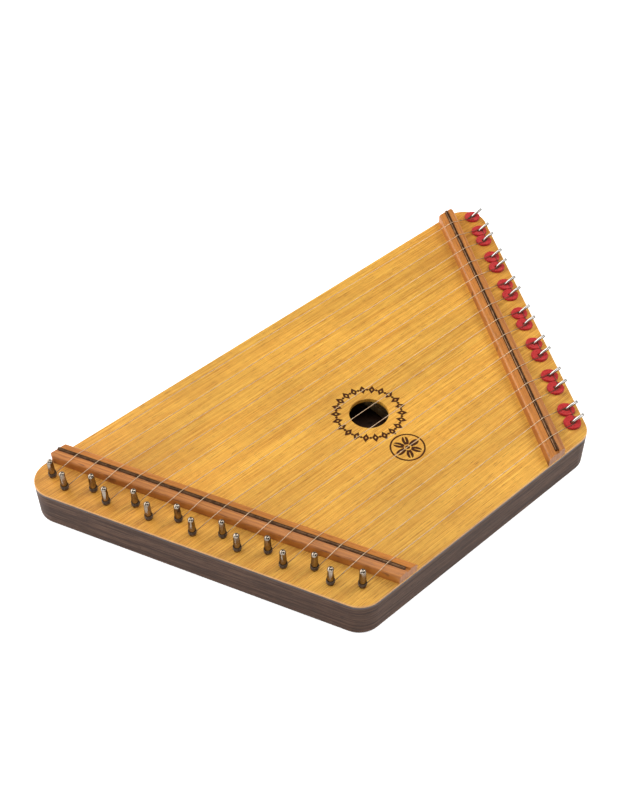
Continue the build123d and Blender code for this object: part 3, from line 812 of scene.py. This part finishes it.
def washer_surface(number, rng):
    """Points and faces of one washer, in millimetres."""
    middle = hitch_axis(number, BOARD_TOP + FELT_THICKNESS / 2)
    around, section = 72, washer_section()
    phase = rng.uniform(0, 2 * pi, 4)
    lift = rng.uniform(0.5, 0.95)
    points, faces = [], []
    for i in range(around):
        angle = 2 * pi * i / around
        out = 1 + 0.012 * sin(2 * angle + phase[0]) + 0.008 * sin(5 * angle + phase[1])
        for radius, height in section:
            r = radius * (out if radius > 3 else 1)
            x, y = r * cos(angle), r * sin(angle)
            high = height / FELT_THICKNESS
            aside = y + hitch_side(number) * CREASE_ASIDE
            crease = CREASE_DEPTH * np.exp(-(aside / CREASE_WIDTH)**2) / (1 + np.exp((x - 0.5) / 0.5))
            press = PRESS_DEPTH * np.exp(-(r / PRESS_WIDTH)**2)
            edge = lift * max(0, r - LIFT_START)**2 / 9 * (0.6 + 0.4 * sin(angle + phase[2]))
            wool = WOOL_HEIGHT * sin(3 * x + phase[3]) * sin(2.6 * y + phase[1])
            z = BOARD_TOP + height + high * (edge - press - crease * min(1, r / 2) + wool)
            points.append((middle[0] + x, middle[1] + y, z))
    count = len(section)
    for i in range(around):
        for k in range(count):
            a, b = i * count + k, i * count + (k + 1) % count
            c, d = ((i + 1) % around) * count + (k + 1) % count, ((i + 1) % around) * count + k
            faces.append((a, b, c, d))
    return points, faces


rng = np.random.default_rng(15)
points, faces = [], []
for number in range(1, STRINGS + 1):
    more, flat = washer_surface(number, rng)
    faces += [tuple(v + len(points) for v in face) for face in flat]
    points += more
felt = bpy.data.meshes.new("felt_base")
felt.from_pydata([tuple(np.array(p) * MM) for p in points], [], faces)
felt.update()
print("felt base:", len(faces), "faces")

# %% [markdown]
# The fuzz is real geometry too. A tree scatters points over the felt, stands a short fibre on each, turned
# and sized at random from a fixed seed, and joins them to the washer.

# %%
FIBRE_TILT, FIBRE_TWIST = 1.1, 3.1
FIBRE_SHORTEST, FIBRE_LONGEST = 0.4, 1.2


def fuzz_tree():
    tree = bpy.data.node_groups.new("felt_fuzz", "GeometryNodeTree")
    tree.interface.new_socket("Felt", in_out="INPUT", socket_type="NodeSocketGeometry")
    for name, kind in (("Fibres per square metre", "NodeSocketFloat"), ("Fibre length", "NodeSocketFloat"),
                       ("Fibre radius", "NodeSocketFloat"), ("Seed", "NodeSocketInt"),
                       ("Finish", "NodeSocketMaterial")):
        tree.interface.new_socket(name, in_out="INPUT", socket_type=kind)
    tree.interface.new_socket("Fuzzy felt", in_out="OUTPUT", socket_type="NodeSocketGeometry")
    new, link = tree.nodes.new, tree.links.new
    given, result = new("NodeGroupInput"), new("NodeGroupOutput")
    scatter = new("GeometryNodeDistributePointsOnFaces")
    cone = new("GeometryNodeMeshCone")
    cone.inputs["Vertices"].default_value = 3
    cone.inputs["Radius Top"].default_value = 0.0
    stand = new("GeometryNodeInstanceOnPoints")
    tilt = new("FunctionNodeRandomValue")
    tilt.data_type = "FLOAT_VECTOR"
    tilt.inputs[0].default_value = (-FIBRE_TILT, -FIBRE_TILT, -FIBRE_TWIST)
    tilt.inputs[1].default_value = (FIBRE_TILT, FIBRE_TILT, FIBRE_TWIST)
    turn = new("FunctionNodeRotateRotation")
    turn.rotation_space = "LOCAL"
    size = new("FunctionNodeRandomValue")
    size.inputs[2].default_value = FIBRE_SHORTEST
    size.inputs[3].default_value = FIBRE_LONGEST
    real, join = new("GeometryNodeRealizeInstances"), new("GeometryNodeJoinGeometry")
    smooth, paint = new("GeometryNodeSetShadeSmooth"), new("GeometryNodeSetMaterial")
    link(given.outputs["Felt"], scatter.inputs["Mesh"])
    link(given.outputs["Fibres per square metre"], scatter.inputs["Density"])
    link(given.outputs["Seed"], scatter.inputs["Seed"])
    link(given.outputs["Seed"], tilt.inputs["Seed"])
    link(given.outputs["Seed"], size.inputs["Seed"])
    link(given.outputs["Fibre radius"], cone.inputs["Radius Bottom"])
    link(given.outputs["Fibre length"], cone.inputs["Depth"])
    link(scatter.outputs["Points"], stand.inputs["Points"])
    link(cone.outputs["Mesh"], stand.inputs["Instance"])
    link(scatter.outputs["Rotation"], turn.inputs["Rotation"])
    link(tilt.outputs[0], turn.inputs["Rotate By"])
    link(turn.outputs[0], stand.inputs["Rotation"])
    link(size.outputs[1], stand.inputs["Scale"])
    link(given.outputs["Felt"], join.inputs[0])
    link(stand.outputs[0], join.inputs[0])
    link(join.outputs[0], real.inputs[0])
    link(real.outputs[0], smooth.inputs["Geometry"])
    link(smooth.outputs[0], paint.inputs["Geometry"])
    link(given.outputs["Finish"], paint.inputs["Material"])
    link(paint.outputs[0], result.inputs[0])
    return tree


felt_piece = plain("felt_washers_soft", felt, fuzz_tree(),
                   {"Fibres per square metre": 4.0e6, "Fibre length": 0.0006, "Fibre radius": 0.00003,
                    "Seed": 7, "Finish": red_felt})
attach(felt_piece, "zither")
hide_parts("felt_washers")
print("felt with fuzz:", len(felt_piece.data.polygons), "faces")

# %% [markdown]
# ## Light, floor and camera
# The photograph shows the kantele on white, under soft light. One lamp stands to the right, one hangs
# overhead, a large one stands behind on the left, and a small one fills in from the front left. They show
# as bright spots on every dome, while the rest of the metal mirrors brown wood and the dim room. None
# stands where the lacquer would throw it at the camera as a veil. The floor is white and nearly shadowless.
# Far out it turns up into a low white wall, so that it fills the picture from a low camera too.

# %%
floor_profile = [(0.5, 0), (1.5, 0), (3.0, 0), (3.5, 0.03), (3.8, 0.14), (3.95, 0.34), (4.0, 0.6), (4.0, 1.0)]
FLOOR_DROP = 0.0002
GLOW_NEAR, GLOW_FAR = 0.62, 1.0
GLOW_RISE_START, GLOW_RISE_END = 0.8, 1.8
FLOOR_WHITE = 0.9
ROOM_GLOW = 0.14
around = 64
corners, faces = [(0, 0, 0)], [(0, 1 + i, 1 + (i + 1) % around) for i in range(around)]
for ring, (radius, height) in enumerate(floor_profile):
    corners += [(radius * cos(2 * pi * i / around), radius * sin(2 * pi * i / around), height)
                for i in range(around)]
    if ring:
        inner, outer = 1 + (ring - 1) * around, 1 + ring * around
        faces += [(inner + i, outer + i, outer + (i + 1) % around, inner + (i + 1) % around)
                  for i in range(around)]
floor_mesh = bpy.data.meshes.new("floor")
floor_mesh.from_pydata(corners, [], faces)
floor_mesh.shade_smooth()
floor = bpy.data.objects.new("floor", floor_mesh)
floor.location.z = -FLOOR_DROP
bpy.context.scene.collection.objects.link(floor)


def white_floor():
    """It glows for camera, glossy and transmission rays, more so far out, and takes shadows as plain white."""
    white = bpy.data.materials.new("white_floor")
    white.use_nodes = True
    tree = white.node_tree
    tree.nodes.clear()
    new, link = tree.nodes.new, tree.links.new
    rays, spot, away = new("ShaderNodeLightPath"), new("ShaderNodeTexCoord"), new("ShaderNodeVectorMath")
    two_kinds, three_kinds, strength = new("ShaderNodeMath"), new("ShaderNodeMath"), new("ShaderNodeMath")
    rise, glow, soft = new("ShaderNodeMapRange"), new("ShaderNodeEmission"), new("ShaderNodeBsdfDiffuse")
    both, end = new("ShaderNodeAddShader"), new("ShaderNodeOutputMaterial")
    two_kinds.operation = "ADD"
    three_kinds.operation = "ADD"
    three_kinds.use_clamp = True
    strength.operation = "MULTIPLY"
    away.operation = "LENGTH"
    for key, value in {"From Min": GLOW_RISE_START, "From Max": GLOW_RISE_END,
                       "To Min": GLOW_NEAR, "To Max": GLOW_FAR}.items():
        rise.inputs[key].default_value = value
    soft.inputs["Color"].default_value = (FLOOR_WHITE, FLOOR_WHITE, FLOOR_WHITE, 1)
    link(rays.outputs["Is Camera Ray"], two_kinds.inputs[0])
    link(rays.outputs["Is Glossy Ray"], two_kinds.inputs[1])
    link(two_kinds.outputs[0], three_kinds.inputs[0])
    link(rays.outputs["Is Transmission Ray"], three_kinds.inputs[1])
    link(spot.outputs["Object"], away.inputs[0])
    link(away.outputs["Value"], rise.inputs["Value"])
    link(three_kinds.outputs[0], strength.inputs[0])
    link(rise.outputs[0], strength.inputs[1])
    link(strength.outputs[0], glow.inputs["Strength"])
    link(glow.outputs[0], both.inputs[0])
    link(soft.outputs[0], both.inputs[1])
    link(both.outputs[0], end.inputs["Surface"])
    return white


floor_mesh.materials.append(white_floor())

world = bpy.data.worlds.new("studio")
bpy.context.scene.world = world
world.use_nodes = True
world.node_tree.nodes["Background"].inputs["Color"].default_value = (1, 1, 1, 1)
world.node_tree.nodes["Background"].inputs["Strength"].default_value = ROOM_GLOW


def lamp(name, place, aim, size, power, tint=(1, 1, 1)):
    data = bpy.data.lights.new(name, "AREA")
    data.shape = "RECTANGLE"
    data.size, data.size_y = size
    data.energy = power
    data.color = tint
    made = bpy.data.objects.new(name, data)
    bpy.context.scene.collection.objects.link(made)
    made.location = place
    made.rotation_euler = (Vector(aim) - Vector(place)).to_track_quat("-Z", "Y").to_euler()


lamp("key", (1.15, -0.4, 1.2), (0, 0, 0.03), (0.8, 0.8), 14, (1, 0.97, 0.93))
lamp("top", (-0.15, -0.1, 1.6), (0, 0, 0.03), (1.0, 1.0), 10)
lamp("back_left", (-0.6, 1.2, 0.7), (0.1, 0, 0.03), (2.0, 1.1), 24)
lamp("front_left", (-1.15, -0.75, 0.7), (0, 0, 0.03), (0.4, 0.4), 3)

CAMERA_PLACE = (-0.44662, -0.43276, 0.69482)
CAMERA_AZIMUTH, CAMERA_ELEVATION, CAMERA_ROLL = -38.752, 45.522, -2.88
CAMERA_LENS, SENSOR_HEIGHT = 35.95, 24
CAMERA_SHIFT_X, CAMERA_SHIFT_Y = 0.0478, -0.0228
camera_data = bpy.data.cameras.new("camera")
camera = bpy.data.objects.new("camera", camera_data)
bpy.context.scene.collection.objects.link(camera)
bpy.context.scene.camera = camera
azimuth, elevation, roll = radians(CAMERA_AZIMUTH), radians(CAMERA_ELEVATION), radians(CAMERA_ROLL)
back = Vector((sin(azimuth) * cos(elevation), -cos(azimuth) * cos(elevation), sin(elevation)))
right = Vector((0, 0, 1)).cross(back).normalized()
up = back.cross(right)
right_rolled = right * cos(roll) + up * sin(roll)
up_rolled = up * cos(roll) - right * sin(roll)
turned = Matrix((right_rolled, up_rolled, back)).transposed().to_4x4()
camera.matrix_world = Matrix.Translation(CAMERA_PLACE) @ turned
camera_data.sensor_fit = "VERTICAL"
camera_data.sensor_height = SENSOR_HEIGHT
camera_data.lens = CAMERA_LENS
camera_data.shift_x = CAMERA_SHIFT_X
camera_data.shift_y = CAMERA_SHIFT_Y
camera_data.clip_start = 0.01
bpy.context.scene.view_settings.view_transform = "Standard"
print("camera at", tuple(round(v, 3) for v in camera.location))
